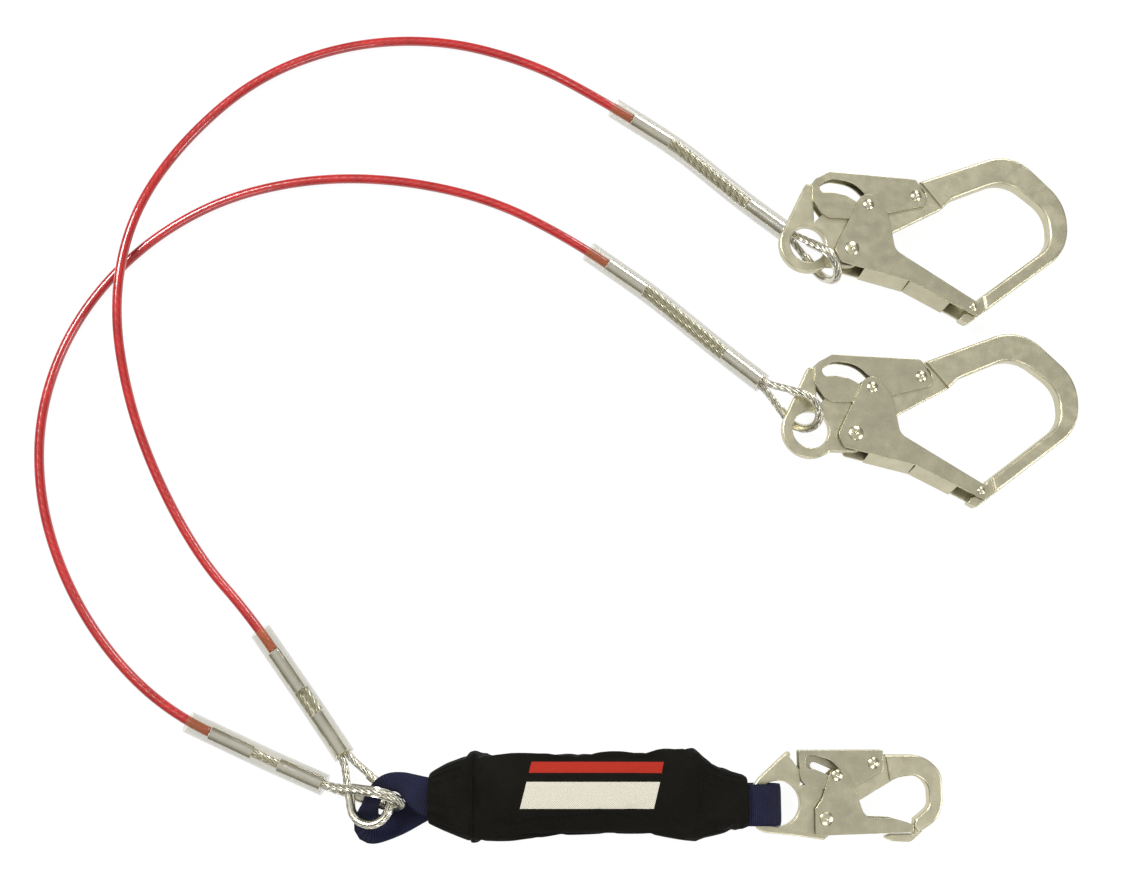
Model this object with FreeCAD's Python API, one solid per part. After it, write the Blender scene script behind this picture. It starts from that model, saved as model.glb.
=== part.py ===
"""Twin-leg wire-rope shock absorbing lanyard, laid out flat on a surface.

Two red-jacketed wire-rope legs hang on the webbing loop of a shock pack and end in large
anchor hooks. The other end of the pack carries a small harness hook.
Millimetres. +Z up, the surface is Z = 0, and the origin is under the middle of the
hooks and the pack. Each file in parts/ is one piece.
"""
import FreeCAD, Part
import math
import os

Vector = FreeCAD.Vector
Z_AXIS = Vector(0, 0, 1)

# ---- wire rope, ferrules and sleeves -------------------------------------------------
JACKET_D = 7.5            # red vinyl jacket over the rope
ROPE_D = 5.6              # bare 7-strand galvanised rope, 7/32 in
ROPE_GAP = 0.2            # between the two ropes that lie side by side
ROPE_BEND = 6.0           # length of each run taken up by a bend between ferrules
FERRULE_D = 12.6
FERRULE_LENGTH = 36.0
FERRULE_CHAMFER = 0.45
SLEEVE_D = 16.8           # clear tube over each termination
SLEEVE_WALL = 0.6
SLEEVE_OVER_JACKET = 19.0
SLEEVE_OVER_EYE = 2.0
AXIS_HEIGHT = SLEEVE_D / 2          # a termination lies on the floor on its sleeve
CABLE_HEIGHT = JACKET_D / 2
CABLE_STRAIGHT = 34.0     # first straight run of the cable out of a ferrule
JACKET_GAP = 0.2          # cut end of the jacket to the ferrule

# ---- rope eyes and thimbles ----------------------------------------------------------
EYE_RADIUS = 15.5         # rope centre line round the end of the thimble
THIMBLE_WALL = 1.1
THIMBLE_START = 18.0      # the thimble's two points, from the start of the eye
THIMBLE_CLEARANCE = 0.05

# ---- shock pack ----------------------------------------------------------------------
WEB_WIDTH = 32.0          # 1 1/4 in webbing
WEB_THICKNESS = 3.0
COVER_WALL = 1.5
TEAR_LAYERS = 7           # folds of the tear webbing
TEAR_LAYER = 2.4
TEAR_GAP = 0.35
TEAR_LENGTH = 150.0
WRAP_WALL = 0.6


# ---- general shapes ------------------------------------------------------------------
def vec(x, y, z=0.0):
    return Vector(x, y, z)


def arc_edge(start, middle, end):
    return Part.Arc(start, middle, end).toShape()


def rounded_wire(corners):
    """Closed outline in the XY plane from (x, y, corner radius) points."""
    count = len(corners)
    edges = []
    starts, ends, middles = [], [], []
    for i, (x, y, radius) in enumerate(corners):
        here = vec(x, y)
        before = (vec(*corners[i - 1][:2]) - here).normalize()
        after = (vec(*corners[(i + 1) % count][:2]) - here).normalize()
        half = before.getAngle(after) / 2
        if radius <= 0:
            starts.append(here)
            ends.append(here)
            middles.append(None)
            continue
        reach = radius / math.tan(half)
        bisector = (before + after).normalize()
        centre = here + bisector * (radius / math.sin(half))
        starts.append(here + before * reach)
        ends.append(here + after * reach)
        middles.append(centre - bisector * radius)
    for i in range(count):
        if middles[i] is not None:
            edges.append(arc_edge(starts[i], middles[i], ends[i]))
        following = starts[(i + 1) % count]
        if (following - ends[i]).Length > 1e-6:
            edges.append(Part.LineSegment(ends[i], following).toShape())
    return Part.Wire(edges)


def slab(corners, low, high):
    """Plate with a rounded outline, from height low to high."""
    face = Part.Face(rounded_wire(corners))
    plate = face.extrude(vec(0, 0, high - low))
    plate.translate(vec(0, 0, low))
    return plate


def both_sides(corners, inner, outer):
    """Two equal plates, one on each side of the middle plane."""
    upper = slab(corners, inner, outer)
    lower = slab(corners, -outer, -inner)
    return [upper, lower]


def soften(plate, radius):
    """Round off every level edge of a plate."""
    level = [edge for edge in plate.Edges if edge.BoundBox.ZLength < 1e-4]
    return plate.makeFillet(radius, level)


def cylinder(x, y, radius, low, high):
    return Part.makeCylinder(radius, high - low, vec(x, y, low))


def fuse(shapes):
    """One solid out of touching or overlapping shapes."""
    joined = shapes[0].fuse(shapes[1:]) if len(shapes) > 1 else shapes[0]
    return joined.removeSplitter()


def turned(point, centre, degrees):
    """A point turned about a centre in the XY plane."""
    angle = math.radians(degrees)
    dx, dy = point[0] - centre[0], point[1] - centre[1]
    return (centre[0] + dx * math.cos(angle) - dy * math.sin(angle),
            centre[1] + dx * math.sin(angle) + dy * math.cos(angle))


def path_edges(points, most=None, radii=None):
    """Straight runs joined by tangent arcs. The arcs are as large as the runs allow, or
    take up no more than a given length of each run."""
    edges = []
    last = points[0]
    for before, here, after in zip(points, points[1:], points[2:]):
        back, ahead = before - here, after - here
        turn = math.pi - back.getAngle(ahead)
        if turn < 1e-4:
            continue
        reach = 0.45 * min(back.Length, ahead.Length)
        reach = min(reach, most) if most else reach
        radius = reach / math.tan(turn / 2)
        back.normalize()
        ahead.normalize()
        bisector = (back + ahead).normalize()
        centre = here + bisector * (radius / math.cos(turn / 2))
        start, end = here + back * reach, here + ahead * reach
        edges.append(Part.LineSegment(last, start).toShape())
        edges.append(arc_edge(start, centre - bisector * radius, end))
        if radii is not None:
            radii.append(radius)
        last = end
    edges.append(Part.LineSegment(last, points[-1]).toShape())
    return edges


def tube(wire, radius):
    """Round bar along a wire of lines and tangent arcs."""
    start = wire.Edges[0]
    point = start.valueAt(start.FirstParameter)
    tangent = start.tangentAt(start.FirstParameter)
    ring = Part.Wire([Part.makeCircle(radius, point, tangent)])
    return wire.makePipeShell([ring], True, False)


# ---- hooks ---------------------------------------------------------------------------
# Every hook is drawn flat round the centre of its ring: +x towards the bow, the gate on
# the -y side. Heights are counted from the middle plane of the forged body.
class HookStack:
    """Half thicknesses of the layers of a double-locking hook."""

    def __init__(self, body, bow, nose, lever_wall, gate_wall, gap):
        self.body = body
        self.bow = bow
        self.nose = nose
        self.lever = (body + gap, body + gap + lever_wall)
        self.gate = (self.lever[1] + gap, self.lever[1] + gap + gate_wall)


def rivet(x, y, radius, grip, head_radius, head_height):
    """Shank and two domed heads with a rolled dimple, clamping over a grip length."""
    shapes = [cylinder(x, y, radius, -grip, grip)]
    ball = (head_radius ** 2 + head_height ** 2) / (2 * head_height)
    dimple = head_radius * 0.35
    for side in (1, -1):
        base = side * grip
        dome = Part.makeSphere(ball, vec(x, y, base + side * (head_height - ball)))
        low, high = sorted((base, base + side * head_height))
        head = dome.common(cylinder(x, y, head_radius, low, high))
        tip = base + side * (head_height + dimple * 0.45)
        shapes.append(head.cut(Part.makeSphere(dimple, vec(x, y, tip))))
    return fuse(shapes)


def spring_bridge(centre, coil, first, leg):
    """Where the straight leg at a coil's first end turns through the body."""
    turn = math.radians(first)
    return (centre[0] + coil * math.cos(turn) + leg * math.sin(turn),
            centre[1] + coil * math.sin(turn) - leg * math.cos(turn))


def torsion_spring(centre, coil, wire, height, first, last, legs):
    """Double torsion spring: a coil on each side of the body, joined by a bridge.

    first and last are the coil's end angles; legs are the two leg lengths. The bridge
    runs through a hole of the body.
    """
    x, y = centre
    shapes = []
    for side in (1, -1):
        level = vec(x, y, side * height)
        sweep = last - first
        ring = Part.makeTorus(coil, wire, vec(0, 0, 0), Z_AXIS, -180, 180, sweep)
        ring.rotate(vec(0, 0, 0), Z_AXIS, first)
        ring.translate(level)
        shapes.append(ring)
        for angle, way, length in ((first, -1, legs[0]), (last, 1, legs[1])):
            turn = math.radians(angle)
            start = level + vec(coil * math.cos(turn), coil * math.sin(turn))
            along = vec(-math.sin(turn) * way, math.cos(turn) * way)
            shapes.append(Part.makeCylinder(wire, length, start, along))
            shapes.append(Part.makeSphere(wire, start + along * length))
    x, y = spring_bridge(centre, coil, first, legs[0])
    return fuse(shapes + [cylinder(x, y, wire, -height, height)])


def sloping_web(start, end, slope, half, wall):
    """Pressed strip from the upper cheek's lower edge down and out to the far cheek."""
    along = vec(end[0] - start[0], end[1] - start[1])
    out = vec(along.y, -along.x).normalize()
    top = vec(*start, half)
    bottom = vec(*start, -half) + out * slope
    corners = [top, top - out * wall, bottom - out * wall, bottom]
    return Part.Face(Part.makePolygon(corners + corners[:1])).extrude(along)


def lever_slot(lock, pivot, stop, pin_radius, opening, ratio, arch):
    """The lever's slot: the stop pin's path as gate and lever turn together, and the
    open arch that the pin runs in. The lever turns ratio times the gate's angle."""
    steps = 9
    depth = 40.0
    shapes = []
    last = None
    for i in range(steps + 1):
        gate_turn = opening * i / steps
        pin = turned(stop, pivot, gate_turn)
        place = turned(pin, lock, -gate_turn * ratio)
        shapes.append(cylinder(place[0], place[1], pin_radius, -depth, depth))
        if last:
            dx, dy = place[0] - last[0], place[1] - last[1]
            bar = Part.makeBox(math.hypot(dx, dy), 2 * pin_radius, 2 * depth,
                               vec(0, -pin_radius, -depth))
            bar.rotate(vec(0, 0, 0), Z_AXIS, math.degrees(math.atan2(dy, dx)))
            bar.translate(vec(*last))
            shapes.append(bar)
        last = place
    shapes.append(slab(arch, -depth, depth))
    return shapes


def anchor_hook():
    """Large rebar hook, 2 1/4 in gate opening. Returns its pieces by name."""
    stack = HookStack(body=3.75, bow=6.0, nose=4.6, lever_wall=1.6, gate_wall=2.0, gap=0.2)
    ring_radius, ring_hole = 22.2, 14.4
    pivot, pivot_radius = (33.7, -3.8), 3.5
    lock, lock_radius = (87.8, 40.6), 2.8
    stop, stop_radius = (48.4, 32.0), 2.4
    pin, pin_radius = (128.3, -49.1), 2.0
    running = 0.06                 # radial clearance of the turning pins
    bow_edge, plate_edge, nose_edge = 2.0, 1.2, 0.5
    web_wall = 1.4
    opening, ratio = 36.0, 0.3

    # forged body: ring and frame plate, thick bow, thinner nose between the gate cheeks
    plate = slab([(-20.5, 8, 0), (0, 48.8, 3), (60, 46.5, 0), (91.5, 52.2, 0),
                  (95, 53.2, 0), (111.2, 33.7, 0), (108.6, 30.8, 0), (67.6, 10.3, 12),
                  (55, -9, 14), (34, -18, 10), (14, -17.2, 0)], -stack.body, stack.body)
    bow = slab([(91.5, 52.2, 0), (168, 79.3, 35), (210.5, 37.6, 40), (210.5, -0.7, 36),
                (139.5, -51.2, 0), (138, -38.9, 0), (195.3, 2.2, 20), (195.3, 29.5, 28),
                (162, 56.3, 28), (117.2, 38.7, 12), (108.6, 30.8, 0)],
               -stack.bow, stack.bow)
    nose = slab([(140, -37.5, 0), (134.5, -41.5, 0), (132.4, -46.3, 0), (131.2, -51, 1),
                 (127.5, -52.6, 1), (121, -54.2, 0), (118, -58.2, 1.4), (124.5, -61.8, 3),
                 (131, -57.3, 6), (141.5, -49.8, 0)], -stack.nose, stack.nose)
    ring = cylinder(0, 0, ring_radius, -stack.body, stack.body)
    body = fuse([soften(plate, plate_edge), soften(ring, plate_edge),
                 soften(bow, bow_edge), soften(nose, nose_edge)])
    notch = slab([(5.2, 18, 0), (5.2, 75, 0), (61, 75, 0), (52.2, 27, 0), (33.7, 5, 0)],
                 -stack.bow, stack.bow)
    notch = notch.cut(cylinder(*pivot, 35.0, -stack.bow, stack.bow))
    pocket, pocket_floor = 8.4, 1.9          # seats of the lock spring, on both faces
    wire = 0.7
    gate_coil, gate_first, gate_leg = 6.6, 215, 4.0
    lock_coil, lock_first, lock_leg = 5.6, 200, 4.0
    gate_hole = spring_bridge(pivot, gate_coil, gate_first, gate_leg)
    lock_hole = spring_bridge(lock, lock_coil, lock_first, lock_leg)
    tools = [notch, cylinder(0, 0, ring_hole, -20, 20)]
    tools += [cylinder(*pivot, pivot_radius, -20, 20), cylinder(*lock, lock_radius, -20, 20)]
    tools += [cylinder(*gate_hole, wire + 0.15, -20, 20),
              cylinder(*lock_hole, wire + 0.15, -20, 20)]
    for low, high in ((pocket_floor, 20), (-20, -pocket_floor)):
        tools.append(cylinder(*lock, pocket, low, high))
    body = body.cut(tools)

    # gate: two pressed cheeks, joined by a sloping web under the arm and by a short
    # upright one on the throat side
    top = [(47.3, 48.5, 8.8), (63.8, 24, 25), (68, -4.5, 10), (133.5, -46.2, 1.5)]
    near = top + [(130.9, -56.5, 2), (79.6, -29.1, 40), (24.0, -14.3, 3), (19.8, -4.5, 9)]
    far = top + [(131.4, -55, 2), (121, -56, 2), (80.4, -34.0, 40), (27, -19.6, 3),
                 (19.8, -4.5, 9)]
    web = [(100, -24.87, 0), (124, -40.15, 0), (122.9, -41.85, 0), (98.9, -26.57, 0)]
    slopes = [sloping_web(*span, stack.gate[1], web_wall)
              for span in (((43, -19.4), (77.5, -28.6), 5.2), ((79, -29.0), (110, -45.5), 5.2))]
    gate = fuse([slab(near, *stack.gate), slab(far, -stack.gate[1], -stack.gate[0]),
                 slab(web, -stack.gate[1], stack.gate[1])] + slopes)
    gate = gate.cut([cylinder(*pivot, pivot_radius + running, -20, 20),
                     cylinder(*stop, stop_radius, -20, 20),
                     cylinder(*pin, pin_radius, -20, 20)])

    # lock lever: two cheeks under the gate's, joined by a web along the back
    cheek = [(18.8, 58.2, 2), (88, 53.9, 4), (96.5, 38, 6), (94.5, 32.7, 4),
             (64, 25.6, 30), (34, 20.4, 20), (14, 21.0, 11), (3.8, 36, 12), (5.0, 51, 7)]
    back = [(19.5, 58.13, 0), (85, 54.07, 0), (85, 52.4, 0), (19.5, 56.4, 0)]
    arch = [(9.5, 47.0, 3.5), (20, 53.4, 14), (38, 50.5, 24), (54, 34, 4), (49, 28.5, 3),
            (36, 38.6, 10), (20, 41.5, 10), (11.5, 41.0, 3.5)]
    lever = fuse(both_sides(cheek, *stack.lever) + [slab(back, -stack.lever[1], stack.lever[1])])
    slot = lever_slot(lock, pivot, stop, stop_radius + 0.5, opening, ratio, arch)
    slot_low = both_sides([(-10, 0, 0), (120, 0, 0), (120, 55.0, 0), (-10, 55.0, 0)],
                          stack.lever[0] - 0.1, stack.lever[1] + 0.1)
    lever = lever.cut([cylinder(*lock, lock_radius + running, -20, 20)]
                      + [piece.common(side) for piece in slot for side in slot_low])

    return {
        "hook_body": body,
        "gate": gate,
        "lock_lever": lever,
        "gate_pivot_rivet": rivet(*pivot, pivot_radius, stack.gate[1] + 0.08, 5.6, 1.5),
        "lock_pivot_rivet": rivet(*lock, lock_radius, stack.lever[1] + 0.08, 4.5, 1.8),
        "stop_rivet": rivet(*stop, stop_radius, stack.gate[1], 4.3, 1.5),
        "nose_pin": rivet(*pin, pin_radius, stack.gate[1], 3.0, 1.0),
        "gate_spring": torsion_spring(pivot, gate_coil, wire, stack.body + 1.0, gate_first,
                                      gate_first + 255, (gate_leg, 6)),
        "lock_spring": torsion_spring(lock, lock_coil, wire, pocket_floor + 0.95, lock_first,
                                      lock_first + 250, (lock_leg, 0.8)),
    }


def harness_hook():
    """Small double-locking snap hook, 3/4 in gate opening. Returns its pieces by name."""
    stack = HookStack(body=3.25, bow=5.0, nose=3.9, lever_wall=1.4, gate_wall=1.6, gap=0.2)
    ring_hole = 16.6
    pivot, pivot_radius = (35.0, -10.7), 2.8
    lock, lock_radius = (72.3, 29.1), 2.4
    stop, stop_radius = (44.0, 20.4), 2.1
    running = 0.06
    bow_edge, plate_edge, nose_edge = 1.7, 1.0, 0.4
    opening, ratio = 26.0, 0.3

    plate = slab([(-21.5, 8, 8), (-14.0, 18.5, 10), (8.2, 38.0, 4), (16, 36, 0),
                  (40, 35, 0), (83.4, 35.2, 0), (87, 16.5, 0), (60.8, 1.8, 8),
                  (52, -12, 10), (33.4, -26.3, 1.5), (14, -23.2, 20), (-14, -20.4, 12),
                  (-23.0, -8, 12)], -stack.body, stack.body)
    bow = slab([(81.0, 35.2, 0), (111, 34.8, 22), (124.2, 22, 16), (123.7, -9.5, 22),
                (104.4, -21.9, 0), (101.5, -17, 0), (102.4, -11.6, 4), (113.6, -2.5, 8),
                (113.4, 14, 12), (103.5, 20.4, 12), (91.5, 18.6, 10), (84.2, 15.9, 0)],
               -stack.bow, stack.bow)
    nose = slab([(106, -8.7, 0), (102.2, -11.4, 0), (101.4, -22.3, 0.8), (84, -22.6, 0.8),
                 (78.8, -24.6, 1.0), (84, -27.4, 5), (98.5, -28.2, 8), (107.5, -20.5, 0)],
                -stack.nose, stack.nose)
    body = fuse([soften(plate, plate_edge), soften(bow, bow_edge), soften(nose, nose_edge)])
    notch = slab([(17.0, 5, 0), (17.0, 60, 0), (50, 60, 0), (47.2, 16.0, 0), (35, 2, 0)],
                 -stack.bow, stack.bow)
    notch = notch.cut(cylinder(*pivot, 28.4, -stack.bow, stack.bow))
    pocket, pocket_floor = 6.2, 1.7
    wire = 0.6
    gate_coil, gate_first, gate_leg = 5.0, 205, 3.0
    lock_coil, lock_first, lock_leg = 4.2, 200, 3.0
    gate_hole = spring_bridge(pivot, gate_coil, gate_first, gate_leg)
    lock_hole = spring_bridge(lock, lock_coil, lock_first, lock_leg)
    tools = [notch, cylinder(0, 0, ring_hole, -20, 20),
             cylinder(*pivot, pivot_radius, -20, 20), cylinder(*lock, lock_radius, -20, 20),
             cylinder(*gate_hole, wire + 0.15, -20, 20),
             cylinder(*lock_hole, wire + 0.15, -20, 20)]
    for low, high in ((pocket_floor, 20), (-20, -pocket_floor)):
        tools.append(cylinder(*lock, pocket, low, high))
    # the back of the body stands clear of the lever's web, pressed or not
    tools.append(slab([(10, 33.0, 0), (10, 60, 0), (79, 60, 0), (79, 34.6, 0), (60, 31, 0),
                       (45, 28, 0), (28, 24, 0), (17, 24, 0)], -20, 20))
    body = body.cut(tools)

    outline = [(43.2, 37.6, 8.2), (56.5, 12.5, 20), (64.2, -10.0, 8), (84.5, -10.6, 14),
               (100.4, -15.2, 1), (100.4, -20.7, 0.8), (26.7, -22.8, 2), (27.0, -3.6, 3),
               (32.6, 4.0, 14)]
    spine = [(28.5, -21.0, 0), (99.5, -18.98, 0), (99.5, -20.72, 0), (28.5, -22.74, 0)]
    gate = fuse(both_sides(outline, *stack.gate) + [slab(spine, -stack.gate[1], stack.gate[1])])
    relief = slab([(20, -30, 0), (58, -30, 0), (58, -18, 0), (20, -18, 0)],
                  -stack.gate[0], stack.gate[0])
    gate = gate.cut([cylinder(*pivot, pivot_radius + running, -20, 20),
                     cylinder(*stop, stop_radius, -20, 20), relief])

    cheek = [(16.3, 38.6, 1), (79.6, 38.6, 1), (79.6, 23.2, 5), (62, 13.6, 20),
             (30, 10.2, 8), (16.6, 14.8, 9)]
    back = [(16.9, 38.55, 0), (79, 38.55, 0), (79, 37.1, 0), (16.9, 37.1, 0)]
    arch = [(19.6, 30.5, 4.8), (24.5, 36.2, 4.5), (40, 31.5, 14), (49.5, 22.0, 3),
            (44, 17.8, 2), (33, 24.8, 6), (23, 25.2, 4)]
    lever = fuse(both_sides(cheek, *stack.lever) + [slab(back, -stack.lever[1], stack.lever[1])])
    slot = lever_slot(lock, pivot, stop, stop_radius + 0.45, opening, ratio, arch)
    slot_low = both_sides([(-10, 0, 0), (120, 0, 0), (120, 36.0, 0), (-10, 36.0, 0)],
                          stack.lever[0] - 0.1, stack.lever[1] + 0.1)
    # the open arch is in the upper cheek only
    lever = lever.cut([cylinder(*lock, lock_radius + running, -20, 20)]
                      + [piece.common(slot_low[0]) for piece in slot]
                      + [piece.common(slot_low[1]) for piece in slot[:-1]])

    return {
        "hook_body": body,
        "gate": gate,
        "lock_lever": lever,
        "gate_pivot_rivet": rivet(*pivot, pivot_radius, stack.gate[1] + 0.08, 5.0, 1.3),
        "lock_pivot_rivet": rivet(*lock, lock_radius, stack.lever[1] + 0.08, 4.4, 1.6),
        "stop_rivet": rivet(*stop, stop_radius, stack.gate[1], 4.2, 1.3),
        "gate_spring": torsion_spring(pivot, gate_coil, wire, stack.body + 0.85, gate_first,
                                      gate_first + 235, (gate_leg, 4)),
        "lock_spring": torsion_spring(lock, lock_coil, wire, pocket_floor + 0.8, lock_first,
                                      lock_first + 240, (lock_leg, 0.5)),
    }


class Pose:
    """Where a flat-drawn hook lies: ring centre, yaw, and pitch with the ring end up."""

    def __init__(self, x, y, z, yaw, pitch):
        turn = FreeCAD.Rotation(Z_AXIS, yaw) * FreeCAD.Rotation(vec(0, 1, 0), pitch)
        self.placement = FreeCAD.Placement(vec(x, y, z), turn)

    def point(self, x, y, z=0.0):
        return self.placement.multVec(vec(x, y, z))

    def normal(self):
        return self.placement.Rotation.multVec(Z_AXIS)

    def put(self, shape):
        placed = shape.copy()
        placed.Placement = self.placement.multiply(placed.Placement)
        return placed


HOOK_POSES = {
    "anchor_hook_1": Pose(67.0, 190.0, 28.0, 0.5, 6.0),
    "anchor_hook_2": Pose(67.2, 46.0, 17.8, 1.0, 3.2),
    "harness_hook": Pose(35.9, -233.4, 13.75, 0.0, 4.0),
}


# ---- legs ----------------------------------------------------------------------------
class Termination:
    """Two ferrules on the doubled rope, then the eye. Headings and pitches in degrees.

    start is where the jacket ends; headings and pitches are those of the first ferrule,
    the bare rope and the second ferrule. eye is the eye's heading, pitch and length to
    the far outside of the rope. lean tips the eye's plane: its upper strand lies to the
    left of the heading (side = 1) or to the right (side = -1).
    """

    def __init__(self, start, headings, pitches, gap, eye, lean, side):
        runs = (FERRULE_LENGTH + ROPE_BEND, gap - 2 * ROPE_BEND, FERRULE_LENGTH + 2 * ROPE_BEND)
        eye_heading, eye_pitch, self.eye_length = eye
        self.points = [vec(*start)]
        self.directions = []
        for heading, pitch, run in zip(headings, pitches, runs):
            way = direction(heading, pitch)
            self.directions.append(way)
            self.points.append(self.points[-1] + way * run)
        self.axis = direction(eye_heading, eye_pitch)
        left = direction(eye_heading + 90, 0) * side
        up = left.cross(self.axis) * (-side)
        lean = math.radians(lean)
        self.width = left * math.cos(lean) + up * math.sin(lean)

    def strand(self, offset):
        """Corners of one of the two ropes side by side through the ferrules."""
        ways = [self.directions[0]] + self.directions + [self.axis]
        places = []
        for i, point in enumerate(self.points):
            way = (ways[i] + ways[i + 1]).normalize() if i < 3 else self.axis
            across = (self.width - way * self.width.dot(way)).normalize()
            places.append(point + across * offset)
        return places

    def eye_frame(self):
        """Placement that takes x to the eye's axis and y to its width."""
        normal = self.axis.cross(self.width)
        rotation = FreeCAD.Rotation(self.axis, self.width, normal, "XYZ")
        return FreeCAD.Placement(self.points[-1], rotation)


def direction(heading, pitch):
    heading, pitch = math.radians(heading), math.radians(pitch)
    return vec(math.cos(heading) * math.cos(pitch), math.sin(heading) * math.cos(pitch),
               math.sin(pitch))


def eye_points(length):
    """Teardrop in the XY plane: where the strands meet the arc, and its far end."""
    offset = (ROPE_D + ROPE_GAP) / 2
    centre = length - ROPE_D / 2 - EYE_RADIUS
    angle = math.acos(-EYE_RADIUS / math.hypot(centre, offset)) - math.atan2(offset, centre)
    touch = vec(centre + EYE_RADIUS * math.cos(angle), EYE_RADIUS * math.sin(angle))
    return touch, vec(centre + EYE_RADIUS, 0), vec(touch.x, -touch.y)


def eye_wire(length, start):
    """Teardrop centre line in the XY plane, from x = start round the end and back."""
    touch, end, back = eye_points(length)
    offset = (ROPE_D + ROPE_GAP) / 2
    height = offset + (touch.y - offset) / touch.x * start
    return Part.Wire([Part.LineSegment(vec(start, height), touch).toShape(),
                      arc_edge(touch, end, back),
                      Part.LineSegment(back, vec(start, -height)).toShape()])


def rope_eye(termination):
    """The rope through both ferrules, round the eye and back through them."""
    frame = termination.eye_frame()
    touch, far, back = [frame.multVec(point) for point in eye_points(termination.eye_length)]
    strands = []
    for side, end in ((1, touch), (-1, back)):
        points = termination.strand(side * (ROPE_D + ROPE_GAP) / 2)
        strands.append(path_edges(points + [end], most=ROPE_BEND - 0.5))
    edges = strands[0] + [arc_edge(touch, far, back)] + strands[1]
    return tube(Part.Wire(Part.sortEdges(edges)[0]), ROPE_D / 2)


def thimble(termination):
    """Steel channel in the eye: the inner half of a tube round the rope."""
    wire = eye_wire(termination.eye_length, THIMBLE_START)
    groove = ROPE_D / 2 + THIMBLE_CLEARANCE
    ring = tube(wire, groove + THIMBLE_WALL)
    first, last = wire.Vertexes[0].Point, wire.Vertexes[-1].Point
    closing = Part.LineSegment(last, first).toShape()
    inside = Part.Face(Part.Wire(wire.Edges + [closing])).extrude(vec(0, 0, 20))
    inside.translate(vec(0, 0, -10))
    channel = ring.common(inside).cut(tube(wire, groove))
    channel.Placement = termination.eye_frame()
    return channel


def ferrule(termination, run):
    """Swaged aluminium ferrule with chamfered ends, pressed over both ropes.

    run 0 is the one at the jacket, run 2 the one at the eye.
    """
    way = termination.directions[run]
    start = termination.points[run] + way * (ROPE_BEND if run else 0)
    radius = FERRULE_D / 2
    small = radius - FERRULE_CHAMFER
    straight = FERRULE_LENGTH - 2 * FERRULE_CHAMFER
    first = start + way * FERRULE_CHAMFER
    second = start + way * (FERRULE_LENGTH - FERRULE_CHAMFER)
    body = fuse([Part.makeCone(small, radius, FERRULE_CHAMFER, start, way),
                 Part.makeCylinder(radius, straight, first, way),
                 Part.makeCone(radius, small, FERRULE_CHAMFER, second, way)])
    bores = []
    for side in (1, -1):
        corners = termination.strand(side * (ROPE_D + ROPE_GAP) / 2)
        along = (corners[run + 1] - corners[run]).normalize()
        bores.append(Part.makeCylinder(ROPE_D / 2, 2 * FERRULE_LENGTH,
                                       corners[run] - along * 10, along))
    return body.cut(bores)


def sleeve(termination):
    """Clear tube from over the jacket to the start of the eye."""
    points = list(termination.points)
    points[0] = points[0] - termination.directions[0] * SLEEVE_OVER_JACKET
    points[-1] = points[-1] - termination.directions[-1] * (ROPE_BEND - SLEEVE_OVER_EYE)
    wire = Part.Wire(path_edges(points))
    return tube(wire, SLEEVE_D / 2).cut(tube(wire, SLEEVE_D / 2 - SLEEVE_WALL))


def cable(name, route, first, last):
    """Jacketed rope from one termination to the other, over a route between them.

    It starts straight out of each end's first ferrule. Prints its length and checks
    its volume.
    """
    start, end = [[t.points[0] - t.directions[0] * d for d in (JACKET_GAP, CABLE_STRAIGHT)]
                  for t in (first, last)]
    radii = []
    wire = Part.Wire(path_edges(start + [vec(*point) for point in route] + end[::-1], radii=radii))
    print(name, "bend radii", " ".join("%.0f" % radius for radius in radii))
    bar = tube(wire, JACKET_D / 2)
    section = math.pi * JACKET_D ** 2 / 4
    print(name, "length %.0f, volume over section x length %.4f"
          % (wire.Length, bar.Volume / (section * wire.Length)))
    return bar


PACK_GAP = 21.0           # bare rope between the ferrules at the pack end
HOOK_GAP = 80.0           # and at the hook end, where the label is
CROSSING = 18.5           # leg 1's centre line where it passes over leg 2

PACK_END_1 = Termination((-341, -122, AXIS_HEIGHT), (-54.1, -54.1, -54.7),
                         (0, 0, 1.7), PACK_GAP,
                         (-59, 11.2, 54.9), -5.2, -1)
HOOK_END_1 = Termination((-66, 300, AXIS_HEIGHT), (-33.2, -40.8, -40.8), (0, 0, 9),
                         HOOK_GAP, (-47.3, 15, 54), 75, 1)
PACK_END_2 = Termination((-386.6, -182.3, AXIS_HEIGHT), (-24.5, -24.5, -22.8),
                         (0, 0, 2.4), PACK_GAP,
                         (-11, 10.8, 59.1), 69.3, 1)
HOOK_END_2 = Termination((-87, 180, AXIS_HEIGHT), (-35.5, -40.4, -40.4), (0, 0, 7),
                         HOOK_GAP, (-38.3, 10, 51), 48, 1)

ROUTE_1 = [
    (-401, -52, CABLE_HEIGHT), (-437, 9, CABLE_HEIGHT), (-463, 75, 6.5),
    (-473, 146, CROSSING), (-463, 216, CROSSING), (-430, 281, 6.5),
    (-372, 338, CABLE_HEIGHT), (-299, 367, CABLE_HEIGHT),
    (-222, 371, CABLE_HEIGHT), (-149, 351, CABLE_HEIGHT),
]
ROUTE_2 = [
    (-467, -125, CABLE_HEIGHT), (-505, -68, CABLE_HEIGHT), (-528, -3, CABLE_HEIGHT),
    (-531, 66, CABLE_HEIGHT), (-509, 134, CABLE_HEIGHT), (-464, 192, CABLE_HEIGHT),
    (-403, 233, CABLE_HEIGHT), (-333, 252, CABLE_HEIGHT), (-260, 253, CABLE_HEIGHT),
    (-181, 236, CABLE_HEIGHT),
]


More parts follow.
